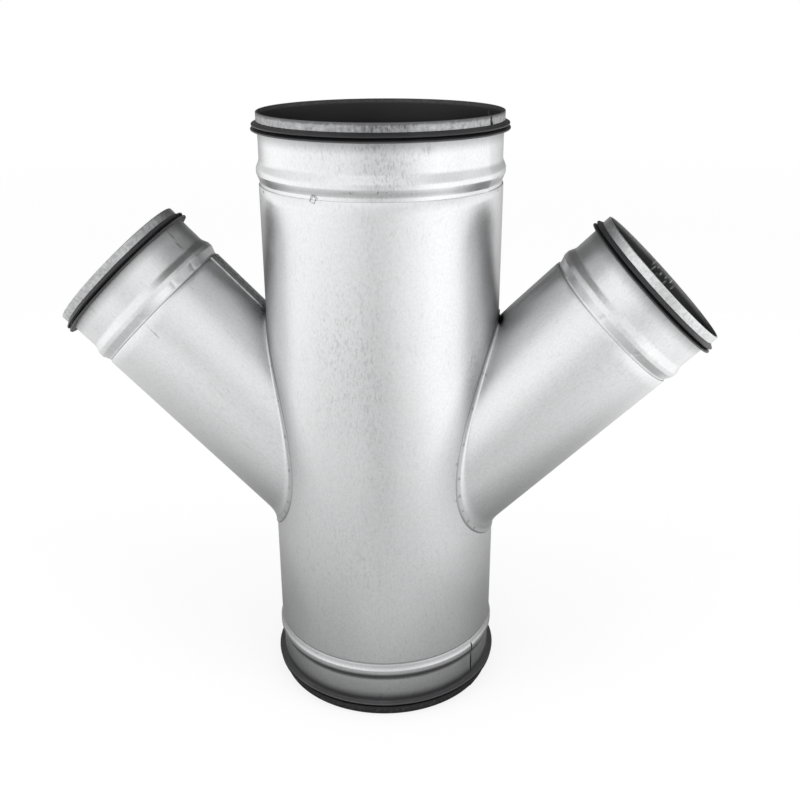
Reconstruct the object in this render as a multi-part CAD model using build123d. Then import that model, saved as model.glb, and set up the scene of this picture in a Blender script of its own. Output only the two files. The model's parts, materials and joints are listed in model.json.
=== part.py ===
"""Double 45 degree branch fitting for round ventilation duct, in galvanised sheet.

Units are millimetres. The main tube stands along +Z, with the middle of its lower
mouth at the origin. The two branches lie in the XZ plane and rise outwards, the
right one towards +X and the left one towards -X.
"""

from build123d import *
import math
import os

# Sheet metal
sheet = 0.6  # thickness of every rolled piece
slip = 0.1  # radial play between a collar's tail and the tube pushed over it
seat = 0.05  # play under a branch foot, and between a gasket and its collar

# Main run, for nominal 150 duct
main_collar_radius = 74.4  # outside of the hem, which enters the duct
total_length = 385.0  # mouth to mouth

# Branches, for nominal 100 duct
branch_collar_radius = 49.6
branch_angle = 45.0  # between a branch and the upward direction of the main run
crossing_height = 112.5  # where both branch axes meet the main axis
branch_reach = 247.0  # from that crossing to a branch mouth, along its axis

# Section of every collar, measured along its axis from the mouth
hem_width = 5.3  # the edge, folded back outwards
stop_distance = 36.0  # mouth to the crest of the bead that stops the duct
bead_height = 2.5
bead_lead = 6.5  # crest to the foot of the bead on the mouth's side
bead_back = 4.0  # crest to the foot on the tube's side
tail_overlap = 14.0  # how far the tail reaches into the tube

# Bare band of each collar, between its bead and the edge of the tube
upper_band = 2.2
lower_band = 0.4
branch_band = 1.5

# Lap seam along each rolled tube
lap_width = 9.0  # where two layers lie on each other
lap_run_out = 8.0  # where the upper layer settles back on the round
main_seam_angle = 90.0  # from +X towards +Y, at the back
branch_seam_angle = 176.0  # from a branch's heel, round past its side

# Foot of each branch, flanged to lie on the main tube
foot_width = 5.0

# Rubber gasket with two lips
lip_height = 3.4  # how far the rear lip stands above the hem
front_lip_drop = 0.5  # how much lower the front lip is
lip_pitch = 2.6

main_tube_radius = main_collar_radius + slip
branch_tube_radius = branch_collar_radius + slip
foot_inner_radius = main_tube_radius + seat
foot_outer_radius = foot_inner_radius + sheet
bead_end = stop_distance + bead_back

branch_axis = Plane(
    origin=(0, 0, crossing_height),
    x_dir=Vector(1, 0, 0).rotate(Axis.Y, branch_angle),
    z_dir=Vector(0, 0, 1).rotate(Axis.Y, branch_angle),
)


def ring(section):
    """Turn a section, drawn as radius across and height up, about the Z axis."""
    return revolve(Plane.XZ * section, Axis.Z)


def collar(radius, band):
    """A rolled collar with its mouth at height 0 and its tail upwards."""
    wall = radius - sheet
    outside = [
        (wall, hem_width),
        (wall, stop_distance - bead_lead),
        (wall + bead_height, stop_distance),
        (wall, bead_end),
        (wall, bead_end + band + tail_overlap),
    ]
    bore = [(distance - sheet, height) for distance, height in reversed(outside[1:])]
    hem = [(wall - sheet, 0), (radius, 0), (radius, hem_width)]
    return ring(make_face(Polyline(*outside, *bore, *hem, close=True)))


def gasket(radius):
    """A rubber ring behind a collar's hem, with two lips that lean away from the mouth."""
    inner = radius - sheet + seat
    start = hem_width + seat
    valley = start + lip_pitch
    end = valley + lip_pitch
    tip = radius + lip_height
    section = Polyline(
        (inner, start),
        (radius, start),
        (tip - front_lip_drop, valley),
        (radius, valley),
        (tip, end),
        (inner, end),
        close=True,
    )
    return ring(make_face(section))


def lap(radius, length, angle):
    """The upper layer of a lap seam, for a tube of this outer radius about Z."""
    step = math.radians(angle)
    settled = step + lap_width / radius
    level = settled + lap_run_out / radius
    top = radius + sheet
    buried = radius - sheet / 2

    def at(distance, turn):
        return distance * math.cos(turn), distance * math.sin(turn)

    outline = [
        Line(at(buried, step), at(top, step)),
        ThreePointArc(at(top, step), at(top, (step + settled) / 2), at(top, settled)),
        Line(at(top, settled), at(buried, level)),
        ThreePointArc(at(buried, level), at(buried, (step + level) / 2), at(buried, step)),
    ]
    return extrude(make_face(outline), length)


def post(radius, height):
    """A solid round bar of this radius, standing on Z = 0."""
    return Cylinder(radius, height, align=(Align.CENTER, Align.CENTER, Align.MIN))


def on_branch(shape):
    """Put a shape drawn upwards from the origin on the right branch's axis."""
    return branch_axis * shape


def opposite(shape):
    """The same piece on the other side of the main run."""
    return Rot(Z=180) * shape


def main_tube():
    """The rolled body, lapped at the back, with a hole under each branch."""
    bottom = bead_end + lower_band
    length = total_length - bead_end - upper_band - bottom
    body = post(main_tube_radius, length) + lap(main_tube_radius, length, main_seam_angle)
    body -= post(main_tube_radius - sheet, length)
    body = Pos(Z=bottom) * body
    hole = on_branch(post(branch_tube_radius - sheet, branch_reach))
    return body - hole - opposite(hole)


def branch_tube():
    """The right branch: a rolled tube whose foot is flanged out to lie on the main tube."""
    length = branch_reach - bead_end - branch_band
    tube = on_branch(post(branch_tube_radius, length))
    saddle = post(foot_outer_radius, total_length)
    saddle &= on_branch(post(branch_tube_radius + foot_width, length))
    blank = tube + saddle + on_branch(lap(branch_tube_radius, length, branch_seam_angle))

    bore = on_branch(post(branch_tube_radius - sheet, branch_reach))
    run = post(foot_inner_radius, total_length)
    return blank - bore - run


os.makedirs("parts", exist_ok=True)

top_end = Pos(Z=total_length) * Rot(X=180)
branch_end = branch_axis * Pos(Z=branch_reach) * Rot(X=180)

main_collar = collar(main_collar_radius, lower_band)
upper_collar = collar(main_collar_radius, upper_band)
branch_collar = branch_end * collar(branch_collar_radius, branch_band)
main_gasket = gasket(main_collar_radius)
branch_gasket = branch_end * gasket(branch_collar_radius)
right_tube = branch_tube()

pieces = {
    "main_tube": main_tube(),
    "bottom_collar": main_collar,
    "top_collar": top_end * upper_collar,
    "right_branch_tube": right_tube,
    "left_branch_tube": opposite(right_tube),
    "right_branch_collar": branch_collar,
    "left_branch_collar": opposite(branch_collar),
    "bottom_gasket": main_gasket,
    "top_gasket": top_end * main_gasket,
    "right_branch_gasket": branch_gasket,
    "left_branch_gasket": opposite(branch_gasket),
}

for name, piece in pieces.items():
    export_step(piece, f"parts/{name}.step")
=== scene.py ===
"""The looks of a double branch duct fitting in galvanised sheet, and its studio."""

import json
import math

import bpy
from bpy.props import FloatProperty, FloatVectorProperty, IntProperty, PointerProperty
from mathutils import Matrix, Vector, noise


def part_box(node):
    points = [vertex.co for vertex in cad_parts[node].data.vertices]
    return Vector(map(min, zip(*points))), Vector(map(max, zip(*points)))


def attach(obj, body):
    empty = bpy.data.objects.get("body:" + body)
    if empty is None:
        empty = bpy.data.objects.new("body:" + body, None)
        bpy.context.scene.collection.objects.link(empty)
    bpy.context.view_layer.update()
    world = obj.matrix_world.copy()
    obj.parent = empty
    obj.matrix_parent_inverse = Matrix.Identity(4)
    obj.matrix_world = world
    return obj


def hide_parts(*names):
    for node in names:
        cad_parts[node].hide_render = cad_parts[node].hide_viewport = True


bl_info = {
    "name": "Double Branch Duct Fitting",
    "version": (1, 0, 0),
    "blender": (4, 5, 0),
    "location": "3D View > Sidebar > Duct Fitting",
    "description": "Builds a galvanised duct fitting with two branches, and its studio",
    "category": "Add Mesh",
}

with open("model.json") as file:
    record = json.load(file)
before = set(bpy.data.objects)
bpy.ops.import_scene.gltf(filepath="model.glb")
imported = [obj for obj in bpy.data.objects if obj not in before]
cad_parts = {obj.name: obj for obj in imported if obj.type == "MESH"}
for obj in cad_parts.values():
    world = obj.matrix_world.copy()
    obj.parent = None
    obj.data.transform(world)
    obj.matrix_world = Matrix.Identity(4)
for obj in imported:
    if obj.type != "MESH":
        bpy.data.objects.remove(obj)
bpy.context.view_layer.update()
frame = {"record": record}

MM = 0.001
RIGHT, LEFT = 1, -1
SIDES = ((RIGHT, "right"), (LEFT, "left"))
UP, DOWN = 1, -1

# Details that the rolled pieces and the gaskets share
SLIP = 0.1 * MM  # play between a collar's tail and the tube pushed over it
SEAT = 0.05 * MM  # play under a foot, and between a gasket and its collar
LOWER_BAND, UPPER_BAND, BRANCH_BAND = 0.4 * MM, 2.2 * MM, 1.5 * MM  # bare collar by a tube
BEAD_BACK = 4.0 * MM  # from the stop to where the collar is plain again
TAIL = 14.0 * MM  # how far a collar reaches into its tube
LAP, RUN_OUT = 9.0 * MM, 8.0 * MM  # a tube's seam, and where its upper layer settles
SEAM_EDGE = 0.02 * MM  # how narrow the step of that upper layer is
MAIN_SEAM, BRANCH_SEAM = math.radians(90), math.radians(176)
ROLL_HEIGHT, ROLL_DEPTH = 0.6 * MM, 0.3 * MM  # how the edge of a tube is eased
CROTCH_FOOT = 3.0 * MM  # width of a foot's flange at the crotch
LIP_PITCH = 2.6 * MM  # from one lip of a gasket to the next

mounts = {mount["name"]: mount for mount in frame["record"]["mounts"]}
tube_low, tube_high = (corner.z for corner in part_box("main_tube"))
right_mouth = Vector(mounts["right_branch_spigot"]["pos_m"])
branch_lean = Vector(mounts["right_branch_spigot"]["axis"]).angle(Vector((0, 0, 1)))


# Sizes and colours that a user would change


class FittingSizes(bpy.types.PropertyGroup):
    """Sizes of the fitting. Those that the frame knows come from it."""

    sheet: FloatProperty(
        name="Sheet", description="Thickness of every rolled piece", default=0.6 * MM,
        unit="LENGTH", precision=5,
    )
    main_radius: FloatProperty(
        name="Main Radius", description="Outside of the main collars' hems",
        default=mounts["lower_spigot"]["dims"]["r_mm"] * MM, unit="LENGTH", precision=5,
    )
    branch_radius: FloatProperty(
        name="Branch Radius", description="Outside of the branch collars' hems",
        default=mounts["right_branch_spigot"]["dims"]["r_mm"] * MM, unit="LENGTH", precision=5,
    )
    length: FloatProperty(
        name="Length", description="Mouth to mouth of the main run",
        default=mounts["upper_spigot"]["pos_m"][2], unit="LENGTH",
    )
    lean: FloatProperty(
        name="Lean", description="Angle between a branch and the main run",
        default=branch_lean, unit="ROTATION",
    )
    reach: FloatProperty(
        name="Reach", description="From the crossing of the axes to a branch mouth",
        default=right_mouth.x / math.sin(branch_lean), unit="LENGTH",
    )
    crossing: FloatProperty(
        name="Crossing", description="Height at which the branch axes meet the main axis",
        default=right_mouth.z - right_mouth.x / math.tan(branch_lean), unit="LENGTH",
    )
    hem: FloatProperty(
        name="Hem", description="Width of the edge that is folded back", default=5.3 * MM,
        unit="LENGTH", precision=5,
    )
    stop: FloatProperty(
        name="Stop", description="From a mouth to the crest of its bead",
        default=mounts["lower_spigot"]["dims"]["length_mm"] * MM, unit="LENGTH",
    )
    bead: FloatProperty(
        name="Bead", description="Height of the bead's flat crest",
        default=1.9 * MM, unit="LENGTH", precision=5,
    )
    lip: FloatProperty(
        name="Lip", description="How far a gasket's rear lip stands above the hem",
        default=3.4 * MM, unit="LENGTH", precision=5,
    )
    foot: FloatProperty(
        name="Foot", description="Width of a foot's flange at the branch's heel",
        default=4.4 * MM, unit="LENGTH", precision=5,
    )
    turns: IntProperty(
        name="Turns", description="Facets round a rolled piece", default=240, min=48,
    )


class FittingColours(bpy.types.PropertyGroup):
    """Colours of the finishes."""

    zinc: FloatVectorProperty(
        name="Zinc", description="Clean zinc coating", subtype="COLOR", size=3,
        default=(0.70, 0.705, 0.71), min=0, max=1,
    )
    # the colour of rubbed and soiled zinc, and also of the painted shade that the zinc finish lays
    # on hems, rings, crotches and feet
    grime: FloatVectorProperty(
        name="Grime", description="Rubbed and soiled zinc", subtype="COLOR", size=3,
        default=(0.15, 0.15, 0.155), min=0, max=1,
    )
    # the bore colour is painted shade: it darkens the inside of the runs
    bore: FloatVectorProperty(
        name="Bore", description="Dull zinc inside the runs", subtype="COLOR", size=3,
        default=(0.052, 0.052, 0.054), min=0, max=1,
    )
    rubber: FloatVectorProperty(
        name="Rubber", description="Gasket rubber", subtype="COLOR", size=3,
        default=(0.010, 0.010, 0.011), min=0, max=1,
    )


def sizes():
    """The sizes that the user has set."""
    return bpy.context.scene.fitting_sizes


def colours():
    """The colours that the user has set."""
    return bpy.context.scene.fitting_colours


# Shader maths written as expressions


class Channel:
    """One number that varies over a surface. Arithmetic on it adds Math nodes."""

    def __init__(self, finish, socket):
        self.finish = finish
        self.socket = socket

    def join(self, operation, first, second):
        return self.finish.join(operation, first, second)

    def __add__(self, other):
        return self.join("ADD", self, other)

    __radd__ = __add__

    def __sub__(self, other):
        return self.join("SUBTRACT", self, other)

    def __rsub__(self, other):
        return self.join("SUBTRACT", other, self)

    def __mul__(self, other):
        return self.join("MULTIPLY", self, other)

    __rmul__ = __mul__

    def __truediv__(self, other):
        return self.join("DIVIDE", self, other)

    def __rtruediv__(self, other):
        return self.join("DIVIDE", other, self)

    def __pow__(self, other):
        return self.join("POWER", self, other)

    def at_least(self, other):
        return self.join("MAXIMUM", self, other)

    def at_most(self, other):
        return self.join("MINIMUM", self, other)


class Finish:
    """Adds nodes to one material or world."""

    def __init__(self, tree):
        self.tree = tree
        tree.nodes.clear()

    def node(self, kind, settings=None, inputs=None, output=0):
        """Adds a node and gives back one of its outputs."""
        made = self.tree.nodes.new(kind)
        for name, value in (settings or {}).items():
            setattr(made, name, value)
        for name, value in (inputs or {}).items():
            self.feed(made.inputs[name], value)
        return Channel(self, made.outputs[output]) if len(made.outputs) else made

    def feed(self, socket, value):
        """Links a channel to a socket, or sets the socket to a plain value."""
        if isinstance(value, Channel):
            self.tree.links.new(value.socket, socket)
        else:
            socket.default_value = value

    def place(self, turned=None):
        """Object coordinates, turned and moved by a matrix where one is given."""
        coordinates = self.node("ShaderNodeTexCoord", output="Object")
        if turned is None:
            return coordinates
        return self.node(
            "ShaderNodeMapping",
            inputs={
                "Vector": coordinates,
                "Location": turned.to_translation(),
                "Rotation": turned.to_euler(),
            },
        )

    def stretched(self, vector, amounts):
        """A vector with each part multiplied by its own amount."""
        return self.node(
            "ShaderNodeVectorMath", {"operation": "MULTIPLY"}, {0: vector, 1: amounts}
        )

    def parts(self, vector):
        """The x, y and z of a vector."""
        split = self.node("ShaderNodeSeparateXYZ", inputs={"Vector": vector})
        return [Channel(self, socket) for socket in split.socket.node.outputs]

    def noise(self, vector, scale, detail=2.0, roughness=0.5):
        """Noise from 0 to 1, about 0.5 in the middle."""
        return self.node(
            "ShaderNodeTexNoise",
            inputs={"Vector": vector, "Scale": scale, "Detail": detail, "Roughness": roughness},
        )

    def join(self, operation, first, second):
        """The result of one Math node."""
        return self.node("ShaderNodeMath", {"operation": operation}, {0: first, 1: second})

    def ramp(self, value, low, high):
        """0 below low and 1 above high, with a smooth rise between them."""
        return self.node(
            "ShaderNodeMapRange",
            {"interpolation_type": "SMOOTHSTEP"},
            {"Value": value, "From Min": low, "From Max": high},
        )

    def blend(self, factor, first, second):
        """A colour between two colours."""
        return self.node(
            "ShaderNodeMix",
            {"data_type": "RGBA"},
            {0: factor, 6: opaque(first), 7: opaque(second)},
            output=2,
        )

    def near(self, vector, centre, reach):
        """1 at a point, falling to 0 at the surface of an ellipsoid round it."""
        offset = self.node(
            "ShaderNodeVectorMath", {"operation": "SUBTRACT"}, {0: vector, 1: centre}
        )
        scaled = self.stretched(offset, [1 / length for length in reach])
        distance = self.node(
            "ShaderNodeVectorMath", {"operation": "LENGTH"}, {0: scaled}, output="Value"
        )
        return 1 - self.ramp(distance, 0.0, 1.0)

    def bump(self, height, distance, strength=1.0):
        """A normal that follows small heights."""
        return self.node(
            "ShaderNodeBump",
            inputs={"Height": height, "Distance": distance, "Strength": strength},
        )


def opaque(colour):
    """A colour as a socket takes it, with its fourth part where it is a plain one."""
    return colour if isinstance(colour, Channel) else (*colour, 1.0)


def from_axis(x, y):
    """How far a point lies from the Z axis."""
    return (x * x + y * y) ** 0.5


def finish_with(name, build):
    """A material whose Principled shader gets its inputs from build(finish)."""
    material = bpy.data.materials.new(name)
    material.use_nodes = True
    finish = Finish(material.node_tree)
    shader = finish.node("ShaderNodeBsdfPrincipled", inputs=build(finish))
    finish.node("ShaderNodeOutputMaterial", inputs={"Surface": shader})
    return material


def zinc(name, place, bore, hem=0.0, shade=0.0, folded=0.0, rings=(), marks=(), strokes=(),
         gaps=(), holes=(), flange=0.0):
    """Galvanised sheet, with painted shade within the bore. A folded hem is darkened by the share
    in folded, as soil and painted shade, and the strip behind its gasket gets painted shade by the
    share in shade. Each shade ring is a height, half its width and the strength of the painted
    shade there. Each mark is a point, the reach of a darker patch there and its strength; some
    patches are rubs and soil, others painted shade. Each stroke is a point and the reach of a
    bright weld line inside the bore, where the bore's painted shade is left out. Each shadow gap is
    a point and the reach of a painted black shadow in a slit, a seam or a crevice. Each hole is the
    place of a branch, round whose foot the main tube gets dirt and painted shade. A flange gets
    painted shade from the radius in flange outwards."""

    def build(finish):
        point = finish.place(place.inverted())
        x, y, z = finish.parts(point)
        across = from_axis(x, y)
        # inside masks the bore, which the bore colour darkens as painted shade
        inside = 1 - finish.ramp(across, bore + 0.1 * MM, bore + 0.3 * MM)

        # the grain of the coating, and the pits and specks that soil settles in
        grain = finish.noise(finish.stretched(point, (1.0, 1.0, 0.75)), 760.0, 3.0, 0.7)
        cloud = finish.noise(point, 34.0, 3.0)
        pits = finish.noise(finish.stretched(point, (1.0, 1.0, 0.3)), 560.0, 2.0, 0.6)
        pitted = finish.ramp(pits, 0.56, 0.70) * finish.ramp(cloud, 0.40, 0.60)
        specks = finish.noise(finish.stretched(point, (1.0, 1.0, 0.34)), 1000.0, 1.5, 0.6)
        broken = finish.ramp(specks + (pits - 0.5) * 0.4, 0.50, 0.66) * 0.74 + 0.26

        # soil and painted shade, from 0 to 1
        soil_and_shade = pitted * 0.10
        if hem:
            mottle = finish.noise(point, 420.0, 4.0, 0.7)
            # the hem darkens with mottled soil and with painted shade by the share in folded, and
            # behind is painted shade on the strip below the gasket
            edge = 1 - finish.ramp(z, hem, hem + 0.15 * MM)
            gasket_end = hem + 2 * LIP_PITCH
            behind = (1 - finish.ramp(z, gasket_end, gasket_end + 8 * MM)) * (1 - edge)
            soil_and_shade = soil_and_shade + edge * (folded + (mottle - 0.5) * 1.1) + behind * shade
            # the bore's painted shade is lighter near the mouth
            inside = inside * (finish.ramp(z, 0.0, 3.4 * MM) * 0.42 + 0.58)
        # each shade ring is a band of painted shade round the piece, at a tube's edge and on a
        # bead's slopes
        for height, reach, strength in rings:
            away = finish.join("ABSOLUTE", z - height, 0.0)
            soil_and_shade = soil_and_shade + (1 - finish.ramp(away, 0.0, reach)) * strength
        # darker patches: rubs and soil on some, painted shade on others
        for centre, reach, strength in marks:
            soil_and_shade = soil_and_shade + finish.near(point, centre, reach) * broken * strength
        # dirt and painted shade on the main tube round each branch's foot
        for hole in holes:
            beside, behind, along = finish.parts(finish.place(hole.inverted()))
            contact = 1 - finish.ramp(from_axis(beside, behind), 52 * MM, 73 * MM)
            soil_and_shade = soil_and_shade + contact * finish.ramp(along, 30 * MM, 85 * MM) * 0.42
        # painted shade on a foot's flange, where it lies on the main tube
        if flange:
            soil_and_shade = soil_and_shade + finish.ramp(across, flange + 0.8 * MM, flange + 2.4 * MM) * 0.4
        soil_and_shade = soil_and_shade.at_least(0.0).at_most(1.0)

        # colours, from the clean coating to the painted shade of the bore and the painted shadow in
        # the slits
        # strokes leave the bore's painted shade out along bright weld lines
        for centre, reach in strokes:
            inside = inside - finish.near(point, centre, reach) * broken
        tone = 0.91 + (grain - 0.5) * 0.85 + (cloud - 0.5) * 0.10
        faint = [part * 0.55 for part in colours().zinc]
        clean = finish.blend(tone.at_least(0.0).at_most(1.0), faint, colours().zinc)
        soiled_and_shaded = finish.blend(soil_and_shade, clean, colours().grime)
        surface = finish.blend(inside.at_least(0.0), soiled_and_shaded, colours().bore)
        # a painted black shadow in slits, seams and crevices
        for centre, reach in gaps:
            gap_shadow = (finish.near(point, centre, reach) * 2).at_most(1.0)
            surface = finish.blend(gap_shadow, surface, (0.004, 0.004, 0.004))

        # wide swells from the rolling, and the fine grain on them
        swell = finish.noise(finish.stretched(point, (1.0, 1.0, 0.45)), 13.0, 1.0)
        rolled = finish.bump(swell, 3.2 * MM)
        return {
            "Base Color": surface,
            "Metallic": 1.0,
            "Roughness": 0.34 + (cloud - 0.5) * 0.12 + (grain - 0.5) * 0.14 + soil_and_shade * 0.15,
            "Normal": finish.node(
                "ShaderNodeBump",
                inputs={
                    "Height": grain * 0.6 + pitted * 0.7, "Distance": 0.05 * MM,
                    "Strength": 0.6, "Normal": rolled,
                },
            ),
        }

    return finish_with(name, build)


def rubber(name, place):
    """Soft black rubber with a dull bloom, and dust and a painted sheen on the back of its rear
    lip.
    """

    def build(finish):
        point = finish.place(place.inverted())
        height = finish.parts(point)[2]
        bloom = finish.noise(point, 160.0, 4.0, 0.6)
        dust_and_sheen = finish.ramp(finish.noise(point, 48.0, 3.0), 0.5, 0.8)
        end = sizes().hem + 2 * LIP_PITCH
        # back lays a painted sheen on the back of the rear lip, together with dust
        back = finish.ramp(height, end - 1.0 * MM, end - 0.3 * MM)
        pale = [min(1.0, part * 2.6) for part in colours().rubber]
        black = finish.blend(bloom * 0.4 + dust_and_sheen * 0.4, colours().rubber, pale)
        return {
            "Base Color": finish.blend(back * (dust_and_sheen * 0.4 + 0.6), black, (0.075, 0.075, 0.077)),
            "Roughness": 0.44 + (bloom - 0.5) * 0.2 + dust_and_sheen * 0.12,
            "Specular IOR Level": 0.45,
            "Normal": finish.bump(bloom, 0.08 * MM, 0.6),
        }

    return finish_with(name, build)


def weld_mark(name):
    """Zinc burnt dark by an electrode."""

    def build(finish):
        char = finish.noise(finish.place(), 900.0, 2.0)
        dull = [part * 0.6 for part in colours().zinc]
        return {
            "Base Color": finish.blend(char, colours().grime, dull),
            "Metallic": 1.0,
            "Roughness": 0.45 + (char - 0.5) * 0.2,
        }

    return finish_with(name, build)


# Places and shapes


def around(distance, turn, height):
    """A point at a distance from the Z axis and an angle round it."""
    return Vector((distance * math.cos(turn), distance * math.sin(turn), height))


def patch(radius, degrees, height, reach):
    """A point on a round piece and how far a patch reaches from it. The height and the reach
    are given in millimetres."""
    centre = around(radius, math.radians(degrees), height * MM)
    return centre, tuple(part * MM for part in reach)


def darkened_patch(radius, degrees, height, reach, strength):
    """A patch with the strength of its darkening."""
    return (*patch(radius, degrees, height, reach), strength)


def branch_place(side):
    """The matrix that puts a shape drawn up the Z axis on a branch."""
    leant = Matrix.Translation((0, 0, sizes().crossing)) @ Matrix.Rotation(sizes().lean, 4, "Y")
    return leant if side == RIGHT else Matrix.Rotation(math.pi, 4, "Z") @ leant


def mouth_place(height, direction, run=None):
    """Puts a collar, drawn upwards from its mouth, on a run at a height, facing back along it."""
    turn = Matrix.Rotation(math.pi, 4, "X") if direction == DOWN else Matrix.Identity(4)
    return (run or Matrix.Identity(4)) @ Matrix.Translation((0, 0, height)) @ turn


def rounded(corners):
    """Points of a closed outline. Each corner is its two coordinates and a rounding radius."""
    points = []
    for index, (across, up, radius) in enumerate(corners):
        corner = Vector((across, up))
        if not radius:
            points.append(corner)
            continue
        back = Vector(corners[index - 1][:2]) - corner
        ahead = Vector(corners[(index + 1) % len(corners)][:2]) - corner
        tangent = radius / math.tan(back.angle(ahead) / 2)
        start = corner + back.normalized() * min(tangent, back.length * 0.49)
        end = corner + ahead.normalized() * min(tangent, ahead.length * 0.49)
        steps = 6
        for step in range(steps + 1):
            share = step / steps
            points.append(start.lerp(corner, share).lerp(corner.lerp(end, share), share))
    return points


def net(name, columns, place, material):
    """A closed skin through columns of points, which close on themselves both ways."""
    count, height = len(columns), len(columns[0])
    points = [place @ point for column in columns for point in column]
    faces = []
    for turn in range(count):
        here, ahead = turn * height, (turn + 1) % count * height
        for step in range(height):
            above = (step + 1) % height
            faces.append((here + step, ahead + step, ahead + above, here + above))
    return piece(name, points, faces, material)


def piece(name, points, faces, material, sharp=math.radians(42)):
    """A mesh object at the origin, with smooth faces that point outwards."""
    mesh = bpy.data.meshes.new(name)
    mesh.from_pydata(points, [], faces)
    mesh.validate()
    face_outwards(mesh)
    mesh.shade_smooth()
    mesh.set_sharp_from_angle(angle=sharp)
    mesh.materials.append(material)
    made = bpy.data.objects.new(name, mesh)
    bpy.context.collection.objects.link(made)
    return made


def face_outwards(mesh):
    """Turns every face over where the skin as a whole is inside out."""
    mesh.calc_loop_triangles()
    corners = mesh.vertices
    volume = sum(
        corners[a].co.dot(corners[b].co.cross(corners[c].co))
        for a, b, c in (triangle.vertices for triangle in mesh.loop_triangles)
    )
    if volume < 0:
        mesh.flip_normals()


def stand_in(made, slot, *nodes):
    """Hands a finished piece to the frame in place of CAD nodes."""
    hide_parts(*nodes)
    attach(made, "root")


def ahead_of(angle, start):
    """How far an angle lies past a start, going round once."""
    return (angle - start) % math.tau


def apart(angle, other):
    """The smaller angle between two directions."""
    return abs((angle - other + math.pi) % math.tau - math.pi)


def turns_with(special):
    """Angles round a piece, with extra ones where a seam or dent needs them."""
    count = sizes().turns
    even = [math.tau * step / count for step in range(count)]
    gap = math.tau / count / 3
    kept = [angle for angle in even if all(apart(angle, other) > gap for other in special)]
    return sorted(kept + [angle % math.tau for angle in special])


# Pieces


def collar_outline(radius, band):
    """The section of a collar's wall as a closed outline, from the mouth to the tail and back."""
    s = sizes()
    wall = radius - s.sheet
    bore = wall - s.sheet
    plain = 12 * MM, 20 * MM  # rows of points in the straight stretch
    rise, crest = s.stop - 8.0 * MM, s.stop - 3.6 * MM  # where the bead and its crest start
    brow, back = s.stop - 0.6 * MM, s.stop + BEAD_BACK  # where its crest and the bead end
    tail = back + band + TAIL
    return rounded([
        (bore, 0, 0.25 * MM),
        (radius, 0, 0.55 * MM),
        (radius, s.hem, 0.25 * MM),
        (wall, s.hem, 0),
        (wall, plain[0], 0),
        (wall, plain[1], 0),
        (wall, rise, 6.0 * MM),
        (wall + s.bead, crest, 4.0 * MM),
        (wall + s.bead, brow, 2.5 * MM),
        (wall, back, 1.8 * MM),
        (wall, tail, 0),
        (bore, tail, 0),
        (bore, back, 2.2 * MM),
        (bore + s.bead, brow, 2.0 * MM),
        (bore + s.bead, crest, 3.5 * MM),
        (bore, rise, 6.0 * MM),
        (bore, plain[1], 0),
    ])


def collar(name, radius, band, place, material, seam, dents=(), slant=0.0):
    """A collar with a lapped seam, a slit in its hem there and dents pressed into its bead."""
    s = sizes()
    slit, slit_edge = 0.45 * MM / radius, 0.04 * MM / radius
    lap_run, lap_height = 7.0 * MM / radius, 0.35 * MM
    dent_width, dent_height, dent_depth = 1.2 * MM, 1.8 * MM, 0.7 * MM
    dent_middle = s.stop + 2.0 * MM
    special = [seam + side * offset for side in (-1, 1) for offset in (slit, slit + slit_edge)]
    special += [seam - 2 * slit, seam, seam + slit_edge]
    for dent in dents:
        special += [dent + step * dent_width / radius / 2 for step in (-2, -1, 0, 1, 2)]
    outline = collar_outline(radius, band)
    columns = []
    for turn in turns_with(special):
        column = []
        past = ahead_of(turn, seam % math.tau)
        lift = lap_height * (1 - past / lap_run) if past < lap_run else 0.0
        in_slit = apart(turn, seam) <= slit * 1.01
        for across, up in outline:
            distance = across
            if across > radius - s.sheet * 1.4:
                distance += lift
                if in_slit and up < s.hem + 0.2 * MM and across > radius - s.sheet * 0.9:
                    distance -= s.sheet
            if s.stop - 6 * MM < up < s.stop + 5 * MM:
                for dent in dents:
                    along = apart(turn, dent) * radius / dent_width
                    high = (up - dent_middle) / dent_height
                    distance -= dent_depth * math.exp(-along * along - high * high)
            column.append(around(distance, turn + slant * up / radius, up))
        columns.append(column)
    return net(name, columns, place, material)


def gasket(name, radius, place, material):
    """A rubber ring with two soft lips that lean away from the mouth."""
    s = sizes()
    inner = radius - s.sheet + SEAT
    start = s.hem + SEAT
    tip = radius + s.lip - 0.02 * MM
    front = tip - 0.5 * MM
    outline = rounded([
        (inner, start, 0),
        (radius + 0.1 * MM, start, 0.2 * MM),
        (front - 1.2 * MM, start + 1.0 * MM, 1.5 * MM),
        (front, start + 1.5 * MM, 0.45 * MM),
        (front, start + LIP_PITCH - 0.15 * MM, 0.3 * MM),
        (radius + 0.5 * MM, start + LIP_PITCH * 0.8, 0.3 * MM),
        (radius + 0.4 * MM, start + LIP_PITCH * 1.05, 0.3 * MM),
        (tip - 1.2 * MM, start + LIP_PITCH * 1.45, 1.5 * MM),
        (tip, start + LIP_PITCH * 1.62, 0.45 * MM),
        (tip, start + LIP_PITCH * 2, 0.45 * MM),
        (radius + 0.6 * MM, start + LIP_PITCH * 1.9, 0.4 * MM),
        (inner, start + LIP_PITCH * 2, 0),
    ])
    columns = []
    for turn in turns_with(()):
        ripple = 0.12 * MM * noise.noise(around(9, turn, radius * 99))
        column = []
        for across, up in outline:
            share = max(0.0, (across - radius) / s.lip)
            column.append(around(across, turn, up + ripple * share))
        columns.append(column)
    return net(name, columns, place, material)


def lap_lift(turn, seam, radius):
    """How far the upper layer of a tube's lap seam stands above the round."""
    s = sizes()
    past = ahead_of(turn, seam) * radius
    if past <= LAP:
        return s.sheet
    return s.sheet * max(0.0, 1 - (past - LAP) / RUN_OUT)


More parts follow.
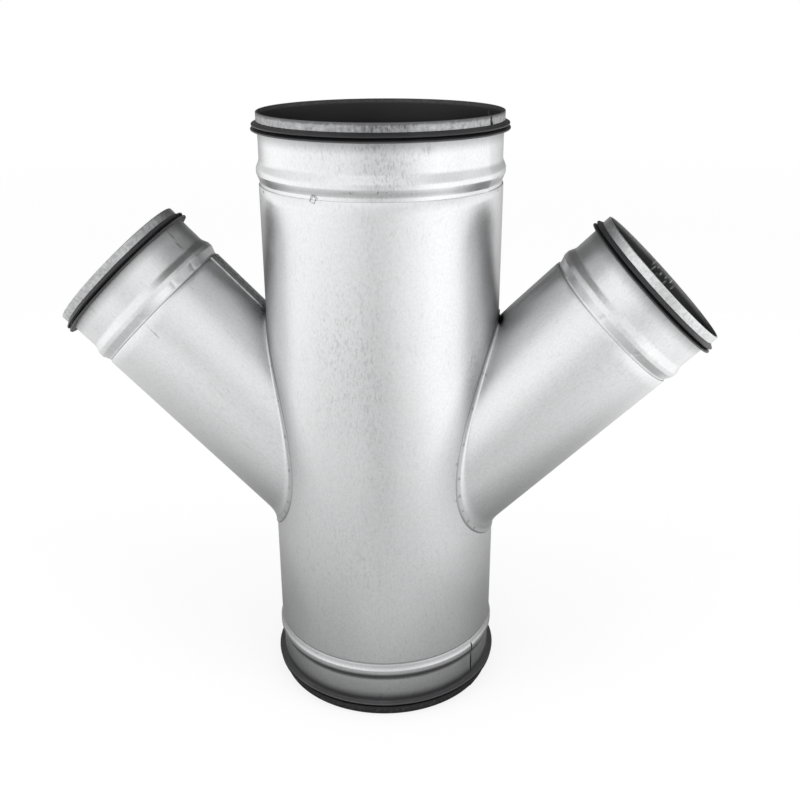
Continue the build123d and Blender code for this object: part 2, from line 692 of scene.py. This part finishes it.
def main_tube(name, material):
    """The rolled body. At each angle it has a lower and an upper stretch, which meet in a shared
    row of points or leave a hole between them."""
    s = sizes()
    outer = s.main_radius + SLIP
    hole = s.branch_radius + SLIP - s.sheet
    widest = math.asin(hole / outer)
    rows, fan_steps = 26, 48
    fans = [
        side + widest * math.sin(math.pi * (step / fan_steps - 0.5))
        for side in (0.0, math.pi) for step in range(fan_steps + 1)
    ]
    near_seam = [MAIN_SEAM + past / outer for past in (0, SEAM_EDGE, LAP, LAP + RUN_OUT)]

    def opening(turn, radius):
        """The heights between which the wall is cut away at an angle."""
        inside = hole ** 2 - (outer * math.sin(turn)) ** 2
        if inside < (0.03 * MM) ** 2:  # beside the hole, or just at its side
            middle = s.crossing + radius * math.cos(widest) / math.tan(s.lean)
            return middle, middle
        middle = s.crossing + radius * abs(math.cos(turn)) / math.tan(s.lean)
        half = math.sqrt(inside) / math.sin(s.lean)
        return middle - half, middle + half

    points, faces, columns = [], [], []
    for turn in turns_with(fans + near_seam):
        lift = lap_lift(turn, MAIN_SEAM, outer)
        lines = []
        for radius, raised in ((outer, lift), (outer - s.sheet, 0.0)):
            low, high = opening(turn, radius)
            heights = [tube_low + (low - tube_low) * step / rows for step in range(rows + 1)]
            roll = tube_high - ROLL_HEIGHT
            heights += [high + (roll - high) * step / (rows - 1) for step in range(rows)]
            heights.append(tube_high)
            reach = radius + raised
            line = []
            for step, height in enumerate(heights):
                if step == rows + 1 and high == low:
                    line.append(line[-1])
                    continue
                line.append(len(points))
                if height == tube_high and radius == outer:
                    reach -= ROLL_DEPTH
                points.append(around(reach, turn, height))
            lines.append(line)
        columns.append(lines)

    last = 2 * rows + 1
    for turn, (outside, inside) in enumerate(columns):
        ahead_out, ahead_in = columns[(turn + 1) % len(columns)]
        for step in range(last):
            if step != rows:
                above = step + 1
                faces.append((outside[step], ahead_out[step], ahead_out[above], outside[above]))
                faces.append((inside[above], ahead_in[above], ahead_in[step], inside[step]))

        # the edges: the lower one, both sides of a hole and the upper one
        closed = outside[rows] == outside[rows + 1] and ahead_out[rows] == ahead_out[rows + 1]
        for step, turned in ((0, False), (rows, True), (rows + 1, False), (last, True)):
            if closed and step in (rows, rows + 1):
                continue
            edge = (outside[step], inside[step], ahead_in[step], ahead_out[step])
            faces.append(edge[::-1] if turned else edge)
    return piece(name, points, faces, material)


def heel_share(turn):
    """1 at a branch's heel, falling to 0 at its crotch."""
    return ((1 + math.cos(turn)) / 2) ** 1.5


def foot_width(turn):
    """Width of a foot's flange, which is widest at the heel."""
    return CROTCH_FOOT + (sizes().foot - CROTCH_FOOT) * heel_share(turn)


def on_main(radius, across, turn):
    """Where a line beside a branch's axis meets a cylinder on the main axis, as a point that
    is drawn with the branch up the Z axis."""
    s = sizes()
    x = math.sqrt(radius ** 2 - (across * math.sin(turn)) ** 2)
    return around(across, turn, (x - across * math.cos(turn) * math.cos(s.lean)) / math.sin(s.lean))


def branch_tube(name, side, material):
    """A rolled tube whose foot turns out into a flange on the main tube."""
    s = sizes()
    outer = s.branch_radius + SLIP
    inner = outer - s.sheet
    under = s.main_radius + SLIP + SEAT
    over = under + s.sheet
    end = s.reach - s.stop - BEAD_BACK - BRANCH_BAND
    near_seam = [BRANCH_SEAM + past / outer for past in (-SEAM_EDGE, 0, LAP, LAP + RUN_OUT)]
    flat, bend, run = 3, 8, 20  # rows in the flange, in its bend and along the tube
    columns = []
    for turn in turns_with(near_seam):
        heel = heel_share(turn) ** 1.4
        out = 1.1 * MM + 2.4 * MM * heel
        along = 1.2 * MM + 8.0 * MM * heel
        wide = foot_width(turn)
        column = []
        for step in range(flat):
            column.append(on_main(over, outer + wide + (out - wide) * step / flat, turn))
        first, corner = on_main(over, outer + out, turn), on_main(over, outer, turn)
        last = corner + Vector((0, 0, along))
        for step in range(bend + 1):
            share = step / bend
            column.append(first.lerp(corner, share).lerp(corner.lerp(last, share), share))
        lift = lap_lift(turn, BRANCH_SEAM, outer)
        for step in range(1, run + 1):
            height = last.z + (end - ROLL_HEIGHT - last.z) * step / run
            column.append(around(outer + lift * min(1.0, step / 3), turn, height))
        column.append(around(outer + lift - ROLL_DEPTH, turn, end))
        bottom = on_main(under, inner, turn).z
        for step in range(run + 1):
            column.append(around(inner, turn, end + (bottom - end) * step / run))
        for step in range(1, flat + 1):
            column.append(on_main(under, inner + (outer + wide - inner) * step / flat, turn))
        columns.append(column)
    return net(name, columns, branch_place(side), material)


# Spot welds, spread by Geometry Nodes


def weld_tree(material, corners):
    """Puts a small crater with this many corners on every point, facing the point's own way."""
    tree = bpy.data.node_groups.new("SpotWelds", "GeometryNodeTree")
    tree.is_modifier = True
    for label, kind in (("Geometry", "Geometry"), ("Radius", "Float"), ("Wire", "Float"),
                        ("Spread", "Float"), ("Seed", "Int")):
        tree.interface.new_socket(label, in_out="INPUT", socket_type=f"NodeSocket{kind}")
    tree.interface.new_socket("Geometry", in_out="OUTPUT", socket_type="NodeSocketGeometry")

    def node(kind, settings=None, inputs=None):
        """Adds a node and gives back its outputs."""
        made = tree.nodes.new(kind)
        for name, value in (settings or {}).items():
            setattr(made, name, value)
        for name, value in (inputs or {}).items():
            if isinstance(value, bpy.types.NodeSocket):
                tree.links.new(value, made.inputs[name])
            else:
                made.inputs[name].default_value = value
        return made.outputs

    given = node("NodeGroupInput")
    outline = node("GeometryNodeMeshCircle",
                   inputs={"Vertices": corners, "Radius": given["Radius"]})
    loop = node("GeometryNodeMeshToCurve", inputs={"Mesh": outline[0]})
    wire = node("GeometryNodeCurvePrimitiveCircle",
                inputs={"Resolution": 6, "Radius": given["Wire"]})
    crater = node("GeometryNodeCurveToMesh", inputs={"Curve": loop[0], "Profile Curve": wire[0]})
    marks = node("GeometryNodeMeshToPoints", inputs={"Mesh": given["Geometry"]})
    facing = node("GeometryNodeInputNamedAttribute", {"data_type": "FLOAT_VECTOR"},
                  {"Name": "facing"})
    turned = node("FunctionNodeAlignRotationToVector", {"axis": "Z"},
                  {"Vector": facing["Attribute"]})
    smallest = node("ShaderNodeMath", {"operation": "SUBTRACT"}, {0: 1.0, 1: given["Spread"]})
    largest = node("ShaderNodeMath", {"operation": "ADD"}, {0: 1.0, 1: given["Spread"]})
    size = node("FunctionNodeRandomValue", {"data_type": "FLOAT"},
                {2: smallest[0], 3: largest[0], "Seed": given["Seed"]})
    put = node("GeometryNodeInstanceOnPoints",
               inputs={"Points": marks[0], "Instance": crater[0], "Rotation": turned[0],
                       "Scale": size[1]})
    real = node("GeometryNodeRealizeInstances", inputs={"Geometry": put[0]})
    painted = node("GeometryNodeSetMaterial", inputs={"Geometry": real[0], "Material": material})
    node("NodeGroupOutput", inputs={"Geometry": painted[0]})
    return tree


def spot_welds(name, marks, material, radius, wire, corners=12, spread=0.2, seed=3):
    """One mesh of weld marks. Each mark is a point and the direction that it faces."""
    mesh = bpy.data.meshes.new(name)
    mesh.from_pydata([point for point, facing in marks], [], [])
    directions = mesh.attributes.new("facing", "FLOAT_VECTOR", "POINT")
    directions.data.foreach_set("vector", [value for point, facing in marks for value in facing])
    holder = bpy.data.objects.new(name + "_points", mesh)
    bpy.context.collection.objects.link(holder)
    tree = weld_tree(material, corners)
    modifier = holder.modifiers.new("Welds", "NODES")
    modifier.node_group = tree
    given = {"Radius": radius, "Wire": wire, "Spread": spread, "Seed": seed}
    for item in tree.interface.items_tree:
        if item.in_out == "INPUT" and item.name in given:
            modifier[item.identifier] = given[item.name]
    bpy.context.view_layer.update()
    evaluated = holder.evaluated_get(bpy.context.evaluated_depsgraph_get())
    spread_mesh = bpy.data.meshes.new_from_object(evaluated)
    spread_mesh.name = name
    made = bpy.data.objects.new(name, spread_mesh)
    bpy.context.collection.objects.link(made)
    holder.modifiers.clear()
    bpy.data.objects.remove(holder)
    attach(made, "root")
    return made


def foot_marks(side):
    """Points along a foot's flange, closer together towards the heel."""
    s = sizes()
    place = branch_place(side)
    over = s.main_radius + SLIP + SEAT + s.sheet
    sunk, from_edge = 0.05 * MM, 1.0 * MM
    marks = []
    for degrees in (48, 59, 70, 81, 91, 107, 122, 137):
        for turn in (math.radians(degrees), -math.radians(degrees)):
            across = s.branch_radius + SLIP + foot_width(turn) - from_edge
            point = place @ on_main(over, across, turn)
            facing = Vector((point.x, point.y, 0)).normalized()
            marks.append((point - facing * sunk, facing))
    return marks


def lap_marks(height, turns):
    """Points round the main tube at a height."""
    sunk = 0.04 * MM
    radius = sizes().main_radius + SLIP - sunk
    facings = [around(1, math.radians(degrees), 0) for degrees in turns]
    return [(facing * radius + Vector((0, 0, height)), facing) for facing in facings]


# Collars with their finishes


def lower_collar():
    """The lower collar, whose seam shows as a painted shadow line at the right."""
    s = sizes()
    place = mouth_place(0, UP)
    wall = s.main_radius - s.sheet
    # painted shade on the hem, behind the gasket and in rings at the tube's edge and on the bead's
    # slopes, and a painted shadow along the seam
    ring_zinc = zinc(
        "zinc_lower_collar", place, s.main_radius - 2 * s.sheet, s.hem, shade=1.2, folded=0.95,
        rings=[(40.3 * MM, 1.1 * MM, 0.9), (38.2 * MM, 2.5 * MM, 0.45), (30.5 * MM, 4 * MM, 0.85)],
        gaps=[
            patch(wall, 329.6, 20, (1.3, 1.3, 13)),
            patch(wall + s.bead, 328, 35, (1.1, 1.1, 6)),
        ],
    )
    made = collar("lower_ring", s.main_radius, LOWER_BAND, place, ring_zinc, math.radians(329),
                  slant=-0.05)
    stand_in(made, "galvanised_sheet", "bottom_collar")


def upper_collar():
    """The upper collar, rubbed at its bead, with painted shade below its gasket, a painted shadow
    in the slit in its hem and a light line inside.
    """
    s = sizes()
    place = mouth_place(s.length, DOWN)
    bore = s.main_radius - 2 * s.sheet
    # rubs on the bead and the hem, and painted shade on the collar below the gasket
    rubs_and_shade = [
        darkened_patch(s.main_radius, 96, 37, (9, 9, 1.2), 0.7),
        darkened_patch(s.main_radius, 82, 36.5, (6, 6, 1.0), 0.6),
        darkened_patch(s.main_radius, 86, 14, (34, 34, 4.5), 0.16),
        darkened_patch(s.main_radius, 62, 15.5, (7, 7, 4), 0.35),
        darkened_patch(s.main_radius, 80, 27, (24, 24, 26), 0.38),
        darkened_patch(s.main_radius, 105, 20, (40, 40, 18), 0.16),
        darkened_patch(s.main_radius, 82, 3, (26, 26, 6), 0.5),
        darkened_patch(s.main_radius, 20, 36, (8, 8, 2.5), 0.5),
    ]
    # painted shade behind the gasket, on the hem with its soil and in rings on the bead and at the
    # mouth, and a painted shadow in the slit
    ring_zinc = zinc(
        "zinc_upper_collar", place, bore, s.hem, shade=0.5, folded=0.62,
        rings=[(38 * MM, 2.5 * MM, 0.25), (0.3 * MM, 2.0 * MM, 0.5)], marks=rubs_and_shade,
        strokes=[patch(bore, -30, 6, (1.0, 1.0, 5))],
        gaps=[
            patch(s.main_radius, 25.6, 5, (3, 3, 2.8)),
            patch(s.main_radius, 26.4, 2.4, (1.8, 1.8, 3.4)),
        ],
    )
    made = collar("upper_ring", s.main_radius, UPPER_BAND, place, ring_zinc, math.radians(-334))
    stand_in(made, "galvanised_sheet", "top_collar")


def branch_collar(side, word):
    """A branch's collar. The two differ in where their seams and dents are, and in their soil and
    painted shade.
    """
    s = sizes()
    place = mouth_place(s.reach, DOWN, branch_place(side))
    wall, bore = s.branch_radius - s.sheet, s.branch_radius - 2 * s.sheet
    seam = {RIGHT: 76.0, LEFT: 161.5}[side]
    dents = {RIGHT: (248.6, 206.1, 282.7), LEFT: (131.7, 152.9, 97.7, 57.4)}[side]
    # folded darkens the hem with soil and painted shade, and edge is the strength of a painted
    # shadow line at the tube's edge
    folded, edge = {RIGHT: (0.14, 0.3), LEFT: (0.42, 0.8)}[side]
    weld_line = [
        patch(bore, across - seam, height, (1.2, wide, high))
        for across, height, wide, high in (
            (-11, 2, 2, 3), (-8, 5, 1, 4), (-6, 2, 4, 1.5), (-3, 7, 1, 3), (-1, 4, 4, 2),
            (2, 9, 1, 4), (4, 3, 5, 1.5), (6, 6, 1, 3), (9, 2, 2, 2), (13, 4, 1, 3),
        )
    ]
    seam_soil = [
        darkened_patch(wall, -seam, 16, (1.3, 1.3, 5), 1.6),
        darkened_patch(wall, 2 - seam, 24, (1.3, 1.3, 5), 1.6),
    ]
    ring_zinc = zinc(
        f"zinc_{word}_collar", place, bore, s.hem, shade=0.5, folded=folded,
        rings=[(41.4 * MM, 0.7 * MM, edge)], marks=seam_soil, strokes=weld_line,
    )
    made = collar(f"{word}_ring", s.branch_radius, BRANCH_BAND, place, ring_zinc,
                  math.radians(-seam), [math.radians(-dent) for dent in dents])
    stand_in(made, "galvanised_sheet", f"{word}_branch_collar")


# Operators, one for each piece or group of like pieces


class FITTING_OT_main_tube(bpy.types.Operator):
    """Build the rolled body of the main run"""

    bl_idname = "fitting.main_tube"
    bl_label = "Main Tube"

    def execute(self, context):
        s = sizes()
        # darker patches on the front of the main tube
        darker_patches = [
            darkened_patch(s.main_radius, 259, 250, (34, 34, 95), 0.27),
            darkened_patch(s.main_radius, 276, 215, (16, 16, 130), 0.12),
            darkened_patch(s.main_radius, 262, 130, (50, 50, 70), 0.10),
            darkened_patch(s.main_radius, 326, 238, (14, 14, 60), 0.25),
            darkened_patch(s.main_radius, 316, 178, (5, 5, 2), 0.6),
            darkened_patch(s.main_radius, 315, 153, (3.5, 3.5, 2), 0.5),
        ]
        # a painted shadow ring at the tube's lower edge, and dirt and painted shade round the
        # branches' feet
        body_zinc = zinc(
            "zinc_main_run", Matrix.Identity(4), s.main_radius - s.sheet,
            rings=[(tube_low, 1.3 * MM, 0.6)], marks=darker_patches,
            holes=[branch_place(side) for side, word in SIDES],
        )
        stand_in(main_tube("main_body", body_zinc), "galvanised_sheet", "main_tube")
        return {"FINISHED"}


class FITTING_OT_branch_tubes(bpy.types.Operator):
    """Build both branch tubes with their flanged feet"""

    bl_idname = "fitting.branch_tubes"
    bl_label = "Branch Tubes"

    def execute(self, context):
        s = sizes()
        # painted shade in the crotch, and a painted black shadow in its crevice
        crotch = darkened_patch(s.branch_radius, 180, 158, (16, 20, 12), 1.4)
        crevice_shadow = patch(s.branch_radius, 184, 156.5, (6, 12, 4))
        # a scratch, and a strip of painted shade along the left tube's seam
        scratch_and_seam_shade = [
            darkened_patch(s.branch_radius, 97, 198, (0.7, 0.7, 10), 0.8),
            darkened_patch(s.branch_radius, 190, 180, (16, 16, 300), 1.6),
        ]
        for side, word in SIDES:
            # each branch's flange also gets painted shade
            branch_zinc = zinc(
                f"zinc_{word}_branch", branch_place(side), s.branch_radius - s.sheet,
                marks=[crotch, *scratch_and_seam_shade] if side == LEFT else [crotch],
                gaps=[crevice_shadow], flange=s.branch_radius,
            )
            made = branch_tube(f"{word}_tube", side, branch_zinc)
            stand_in(made, "galvanised_sheet", f"{word}_branch_tube")
        return {"FINISHED"}


class FITTING_OT_collars(bpy.types.Operator):
    """Build the collars with their hems and stop beads"""

    bl_idname = "fitting.collars"
    bl_label = "Collars"

    def execute(self, context):
        lower_collar()
        upper_collar()
        for side, word in SIDES:
            branch_collar(side, word)
        return {"FINISHED"}


class FITTING_OT_gaskets(bpy.types.Operator):
    """Build the rubber gaskets"""

    bl_idname = "fitting.gaskets"
    bl_label = "Gaskets"

    def execute(self, context):
        s = sizes()
        runs = [("bottom", s.main_radius, mouth_place(0, UP)),
                ("top", s.main_radius, mouth_place(s.length, DOWN))]
        for side, word in SIDES:
            place = mouth_place(s.reach, DOWN, branch_place(side))
            runs.append((f"{word}_branch", s.branch_radius, place))
        for word, radius, place in runs:
            made = gasket(f"{word}_seal", radius, place, rubber(f"{word}_rubber", place))
            stand_in(made, "gasket_rubber", f"{word}_gasket")
        return {"FINISHED"}


class FITTING_OT_spot_welds(bpy.types.Operator):
    """Spread the spot welds over the laps and the feet"""

    bl_idname = "fitting.spot_welds"
    bl_label = "Spot Welds"

    def execute(self, context):
        burnt = weld_mark("burnt_zinc")
        spot_welds("foot_welds", foot_marks(RIGHT) + foot_marks(LEFT), burnt, 0.7 * MM, 0.22 * MM)
        lap = lap_marks(tube_high - 1.5 * MM, (30, 75, 120, 165, 210, 344))
        lap += lap_marks(tube_low + 2.5 * MM, (15, 60, 150, 195))
        spot_welds("lap_welds", lap, burnt, 0.5 * MM, 0.15 * MM)
        diamond = lap_marks(tube_high + 0.2 * MM, (247.1,))
        spot_welds("diamond_weld", diamond, burnt, 2.3 * MM, 0.22 * MM, corners=4, spread=0.0)
        return {"FINISHED"}


class FITTING_OT_studio(bpy.types.Operator):
    """Set up the floor, the lamps, the world and the camera"""

    bl_idname = "fitting.studio"
    bl_label = "Studio"

    def execute(self, context):
        make_floor()
        make_world()
        make_lamps()
        make_camera()
        context.scene.view_settings.view_transform = "Standard"
        return {"FINISHED"}


# Studio

CAMERA_PLACE = Vector((0.08105, -0.59895, 0.44093))
CAMERA_FORWARD = Vector((-0.10780, 0.92143, -0.37329))
CAMERA_UP = Vector((-0.03936, 0.37122, 0.92771))
FOCAL_PIXELS = 974.6
PICTURE_PIXELS = 800


def make_camera():
    """The camera, at the place that was fitted to the photo's outlines."""
    data = bpy.data.cameras.new("camera")
    data.sensor_width = 36.0
    data.lens = data.sensor_width * FOCAL_PIXELS / PICTURE_PIXELS
    data.clip_start = 0.02
    camera = bpy.data.objects.new("camera", data)
    across = CAMERA_FORWARD.cross(CAMERA_UP).normalized()
    up = across.cross(CAMERA_FORWARD).normalized()
    turned = Matrix((across, up, -CAMERA_FORWARD.normalized())).transposed()
    camera.matrix_world = Matrix.Translation(CAMERA_PLACE) @ turned.to_4x4()
    bpy.context.collection.objects.link(camera)
    bpy.context.scene.camera = camera


# Brightness of the room at eye level, above it and on the far floor, by bearing in degrees
# from the camera, to the right
WALL_TONES = (
    (-172, 0.45), (-125, 1.45), (-98, 1.3), (-60, 1.42), (-38, 1.35), (-16, 0.89), (8, 0.7),
    (22, 0.84), (46, 1.5), (100, 1.35), (135, 0.8), (160, 0.4), (175, 0.45),
)
UPPER_TONES = (
    (-175, 0.13), (-150, 0.16), (-130, 0.65), (-110, 1.1), (-90, 1.25), (-70, 1.25), (-50, 1.36),
    (-30, 1.33), (-10, 1.25), (10, 1.18), (30, 1.28), (50, 1.1), (70, 0.94), (90, 1.14),
    (110, 1.1), (130, 0.45), (150, 0.08), (175, 0.07),
)
FLOOR_TONES = (
    (-172, 0.15), (-150, 0.44), (-128, 1.2), (-108, 1.42), (-95, 1.4), (-60, 1.3), (-30, 1.16),
    (-8, 0.87), (6, 0.95), (20, 1.22), (46, 1.55), (84, 1.45), (108, 1.45), (135, 0.86),
    (150, 0.52), (172, 0.5),
)
CEILING_TONE = 0.14


def bearing_of(finish, vector):
    """The bearing of a direction from the camera's, in radians, and how far it points there."""
    x, y, z = finish.parts(vector)
    camera = math.atan2(CAMERA_PLACE.y, CAMERA_PLACE.x)
    towards = x * math.cos(camera) + y * math.sin(camera)
    aside = y * math.cos(camera) - x * math.sin(camera)
    return finish.join("ARCTAN2", aside, towards), towards


def tone_by_bearing(finish, bearing, tones):
    """Runs smoothly through tones given at bearings."""
    tone = tones[0][1]
    for (start, low), (end, high) in zip(tones, tones[1:]):
        rise = finish.ramp(bearing, math.radians(start), math.radians(end))
        tone = rise * (high - low) + tone
    return tone


def make_floor():
    """A white floor. Reflections see it shaded by the fitting, with tones by bearing far away."""
    half = 6.0
    corners = [(-half, -half, 0), (half, -half, 0), (half, half, 0), (-half, half, 0)]
    mesh = bpy.data.meshes.new("floor")
    mesh.from_pydata(corners, [], [(0, 1, 2, 3)])
    floor = bpy.data.objects.new("floor", mesh)
    bpy.context.collection.objects.link(floor)
    material = bpy.data.materials.new("pale_floor")
    material.use_nodes = True
    finish = Finish(material.node_tree)
    camera_ray = finish.node("ShaderNodeLightPath", output="Is Camera Ray")
    glossy_ray = finish.node("ShaderNodeLightPath", output="Is Glossy Ray")
    point = finish.place()
    x, y = finish.parts(point)[:2]
    distance = from_axis(x, y)
    bearing, towards = bearing_of(finish, point)
    ahead = towards / distance
    rightwards = finish.ramp(bearing, math.radians(20), math.radians(75))

    # a dim belt round the fitting, lifted at the right, and a dim strip close by at its sides
    belt = finish.ramp(distance, 0.14, 0.32) * (1 - finish.ramp(distance, 0.40, 0.80))
    close = finish.ramp(distance, 0.12, 0.17) * (1 - finish.ramp(distance, 0.20, 0.30))
    beside = finish.ramp(ahead, -0.35, 0.10) * (1 - finish.ramp(ahead, 0.80, 0.98))
    lifted = rightwards * finish.ramp(distance, 0.24, 0.36) * 0.30
    dimmed = (1 - belt * (0.22 - lifted)) * (1 - close * beside * 0.14)

    # far from the fitting, tones by bearing
    far_away = finish.ramp(distance, 0.9, 2.0) * 0.12 + 1
    tone = tone_by_bearing(finish, bearing, FLOOR_TONES) * far_away * dimmed
    room = finish.node("ShaderNodeEmission", inputs={"Color": tone})
    beyond = finish.ramp(distance, 0.16, 0.62)

    # near it, its own shade: below it, behind it and where it touches
    under = 1 - finish.ramp(distance, 0.07, 0.30)
    touching = 1 - finish.ramp(distance, 0.078, 0.115)
    aside = (1 - ahead) * 0.5 * (1 - beyond)
    shade = (1 - under * 0.55) * (1 - aside * 0.45) * (1 - touching * 0.75) * dimmed * 0.92
    shade = (shade - 1) * glossy_ray + 1
    pale = finish.blend(shade, (0, 0, 0), (0.85, 0.85, 0.85))
    plain = finish.node("ShaderNodeBsdfDiffuse", inputs={"Color": pale})

    # the camera sees white nearly everywhere
    white = finish.node("ShaderNodeEmission")
    lit = finish.node("ShaderNodeMixShader", inputs={0: beyond * glossy_ray, 1: plain, 2: room})
    bare = finish.ramp(distance, 0.8, 3.0) * 0.2 + 0.8
    seen = finish.node("ShaderNodeMixShader", inputs={0: camera_ray * bare, 1: lit, 2: white})
    finish.node("ShaderNodeOutputMaterial", inputs={"Surface": seen})
    mesh.materials.append(material)


def make_world():
    """White for the camera, even light for dull surfaces and the room's tones for reflections."""
    world = bpy.data.worlds.new("studio")
    bpy.context.scene.world = world
    world.use_nodes = True
    finish = Finish(world.node_tree)
    camera_ray = finish.node("ShaderNodeLightPath", output="Is Camera Ray")
    glossy_ray = finish.node("ShaderNodeLightPath", output="Is Glossy Ray")
    direction = finish.node("ShaderNodeTexCoord", output="Generated")
    rise = finish.parts(direction)[2]
    bearing = bearing_of(finish, direction)[0]
    eye_level = tone_by_bearing(finish, bearing, WALL_TONES)
    above = tone_by_bearing(finish, bearing, UPPER_TONES)
    raised = finish.ramp(rise, -0.02, 0.26)
    overhead = finish.ramp(rise, 0.75, 1.0)
    tone = eye_level + (above - eye_level) * raised
    tone = tone + (CEILING_TONE - tone) * overhead
    ambient = 0.88
    strength = (tone - ambient) * glossy_ray + ambient
    strength = (1 - strength) * camera_ray + strength
    background = finish.node("ShaderNodeBackground", inputs={"Color": strength})
    finish.node("ShaderNodeOutputWorld", inputs={"Surface": background})


def make_lamps():
    """Soft lamps: a bearing from the camera, a rise, a distance, a size and a power for each."""
    lamps = (
        ("left_lamp", -62, 40, 2.2, 1.4, 11.0),
        ("right_lamp", 55, 45, 2.2, 1.2, 11.0),
        ("top_lamp", 0, 82, 2.0, 1.6, 9.0),
    )
    camera = math.degrees(math.atan2(CAMERA_PLACE.y, CAMERA_PLACE.x))
    middle = Vector((0, 0, sizes().length / 2))
    for name, bearing, rise, distance, size, power in lamps:
        data = bpy.data.lights.new(name, "AREA")
        data.shape = "DISK"
        data.size = size
        data.energy = power
        lamp = bpy.data.objects.new(name, data)
        away = Vector((1, 0, 0))
        away.rotate(Matrix.Rotation(math.radians(-rise), 3, "Y"))
        away.rotate(Matrix.Rotation(math.radians(camera + bearing), 3, "Z"))
        lamp.location = middle + away * distance
        lamp.rotation_euler = away.to_track_quat("Z", "Y").to_euler()
        lamp.visible_glossy = False
        bpy.context.collection.objects.link(lamp)


class FITTING_PT_panel(bpy.types.Panel):
    """Lists the steps that build the fitting"""

    bl_idname = "FITTING_PT_panel"
    bl_label = "Duct Fitting"
    bl_space_type = "VIEW_3D"
    bl_region_type = "UI"
    bl_category = "Duct Fitting"

    def draw(self, context):
        for group in (context.scene.fitting_sizes, context.scene.fitting_colours):
            for name in group.bl_rna.properties.keys():
                if name not in ("rna_type", "name"):
                    self.layout.prop(group, name)
        for step in STEPS:
            self.layout.operator(step.bl_idname)


STEPS = (
    FITTING_OT_main_tube,
    FITTING_OT_branch_tubes,
    FITTING_OT_collars,
    FITTING_OT_gaskets,
    FITTING_OT_spot_welds,
    FITTING_OT_studio,
)
CLASSES = (FittingSizes, FittingColours, *STEPS, FITTING_PT_panel)


def register():
    for each in CLASSES:
        bpy.utils.register_class(each)
    bpy.types.Scene.fitting_sizes = PointerProperty(type=FittingSizes)
    bpy.types.Scene.fitting_colours = PointerProperty(type=FittingColours)


def unregister():
    del bpy.types.Scene.fitting_colours
    del bpy.types.Scene.fitting_sizes
    for each in reversed(CLASSES):
        bpy.utils.unregister_class(each)


def main():
    """Build the fitting and its studio."""
    register()
    for step in STEPS:
        area, action = step.bl_idname.split(".")
        getattr(getattr(bpy.ops, area), action)()


if __name__ == "__main__":
    main()
